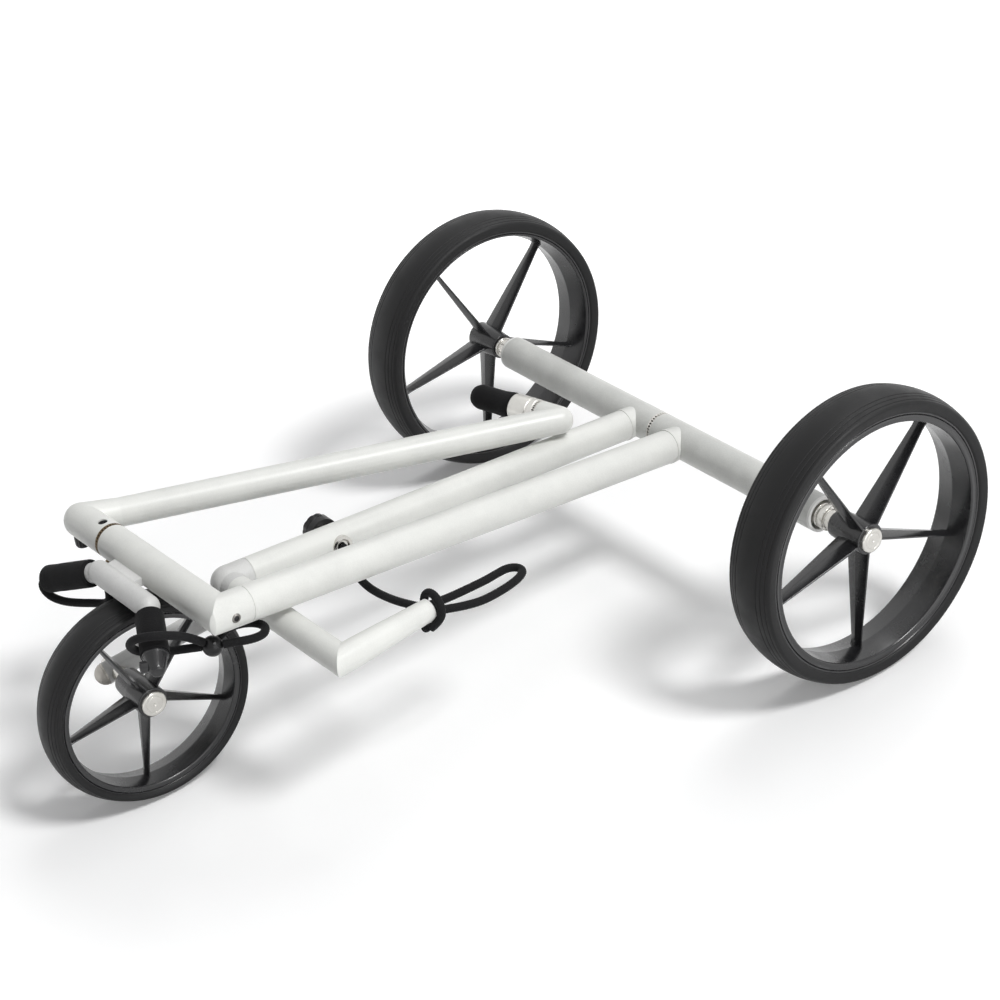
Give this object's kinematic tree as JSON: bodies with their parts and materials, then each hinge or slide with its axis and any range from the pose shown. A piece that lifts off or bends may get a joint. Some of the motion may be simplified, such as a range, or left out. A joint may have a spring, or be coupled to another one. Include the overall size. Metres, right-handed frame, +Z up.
{
  "type": "golf push trolley",
  "caption": "Folding three-wheeled golf trolley, folded: split axle with two tube frames, folded handle, bag bracket, elastic cords and a strut-mounted front wheel.",
  "frame": {"origin": "on the floor, below the middle of the outline of the trolley standing on its wheels", "axes": "+Z up, +X to the right along the rear axle, +Y to the rear; the front wheel is towards -Y"},
  "size_m": [0.6506, 0.8438, 0.2899],
  "materials": {
    "frame_paint": "satin warm light grey powder coat",
    "axle_paint": "satin light grey powder coat, a shade darker",
    "grey_paint": "satin light grey powder coat",
    "polished_steel": "bright turned steel",
    "coupling_metal": "dull brass-coloured toothed couplings",
    "collar_metal": "satin grey metal",
    "wheel_plastic": "black moulded nylon with a satin face",
    "tyre_rubber": "smooth black foam rubber",
    "black_rubber": "matt black rubber",
    "knob_plastic": "black moulded plastic",
    "grey_plastic": "dark grey moulded plastic",
    "white_plastic": "white moulded plastic",
    "elastic_cord": "black woven cover over an elastic core"
  },
  "bodies": {
    "upper_frame": {"axle_tube_right": "axle_paint", "axle_coupling_right": "collar_metal", "axle_end_ring_right": "polished_steel", "wheel_axle_right": "polished_steel", "main_tube": "frame_paint", "main_corner": "frame_paint", "corner_screw": "polished_steel", "cross_tube": "frame_paint", "cross_coupling": "coupling_metal", "coupling_catch": "coupling_metal", "bag_bracket": "grey_paint", "bracket_sleeve_left": "black_rubber", "bracket_sleeve_right": "black_rubber", "sleeve_plug": "grey_plastic", "cord_left": "elastic_cord", "cord_right": "elastic_cord", "cord_pull": "elastic_cord", "cord_ball": "knob_plastic"},
    "lower_frame": {"axle_tube_left": "axle_paint", "axle_coupling_left": "collar_metal", "axle_pivot": "polished_steel", "axle_end_ring_left": "polished_steel", "wheel_axle_left": "polished_steel", "front_tube": "frame_paint", "front_elbow": "grey_paint", "strut_barrel": "polished_steel", "strut_bolt": "polished_steel", "support_tube": "frame_paint", "support_arm": "frame_paint", "arm_plug": "white_plastic", "cord_lower": "elastic_cord", "cord_tail": "elastic_cord", "cord_knot": "knob_plastic"},
    "wheel_strut": {"strut_clamp": "knob_plastic", "strut_tube": "grey_paint", "strut_cap": "polished_steel", "front_bush": "polished_steel", "front_axle": "polished_steel"},
    "strut_knob": {"strut_knob": "knob_plastic"},
    "handle": {"handle_coupling": "coupling_metal", "handle_elbow": "frame_paint", "handle_tube": "frame_paint", "grip_coupling": "collar_metal"},
    "handle_knob": {"handle_knob": "knob_plastic"},
    "grip": {"grip_core": "polished_steel", "grip_collar": "collar_metal", "grip_cover": "black_rubber"},
    "rear_wheel_right": {"wheel_rear_right": "wheel_plastic", "tyre_rear_right": "tyre_rubber", "bearings_rear_right": "polished_steel", "hub_cap_rear_right": "polished_steel"},
    "rear_wheel_left": {"wheel_rear_left": "wheel_plastic", "tyre_rear_left": "tyre_rubber", "bearings_rear_left": "polished_steel", "hub_cap_rear_left": "polished_steel"},
    "front_wheel": {"wheel_front": "wheel_plastic", "tyre_front": "tyre_rubber", "bearings_front": "polished_steel", "hub_cap_front": "polished_steel"}
  },
  "joints": [
    {"name": "frame_fold", "type": "hinge", "parent": "upper_frame", "child": "lower_frame", "pos_m": [0.007, 0.2769, 0.145], "axis": [1, 0, 0], "range_deg": [0, 120]},
    {"name": "strut_fold", "type": "hinge", "parent": "lower_frame", "child": "wheel_strut", "pos_m": [-0.047, -0.0971, 0.17171], "axis": [1, 0, 0], "range_deg": [0, 100]},
    {"name": "strut_knob_turn", "type": "hinge", "parent": "lower_frame", "child": "strut_knob", "pos_m": [-0.056, -0.0971, 0.17171], "axis": [-1, 0, 0], "range_deg": [-180, 180]},
    {"name": "handle_fold", "type": "hinge", "parent": "upper_frame", "child": "handle", "pos_m": [-0.10387, -0.28356, 0.224], "axis": [0.9988, 0.0485, 0], "range_deg": [0, 170]},
    {"name": "handle_knob_turn", "type": "hinge", "parent": "handle", "child": "handle_knob", "pos_m": [-0.16999, -0.28677, 0.206], "axis": [0, 0, 1], "range_deg": [-180, 180]},
    {"name": "grip_turn", "type": "hinge", "parent": "handle", "child": "grip", "pos_m": [-0.05165, 0.17078, 0.186], "axis": [-0.9705, -0.2411, 0], "range_deg": [-90, 90]},
    {"name": "right_wheel_spin", "type": "hinge", "parent": "upper_frame", "child": "rear_wheel_right", "pos_m": [0.2983, 0.2769, 0.145], "axis": [1, 0, 0], "continuous": true},
    {"name": "left_wheel_spin", "type": "hinge", "parent": "lower_frame", "child": "rear_wheel_left", "pos_m": [-0.2983, 0.2769, 0.145], "axis": [1, 0, 0], "continuous": true},
    {"name": "front_wheel_spin", "type": "hinge", "parent": "wheel_strut", "child": "front_wheel", "pos_m": [-0.0283, -0.3176, 0.1043], "axis": [1, 0, 0], "continuous": true}
  ]
}
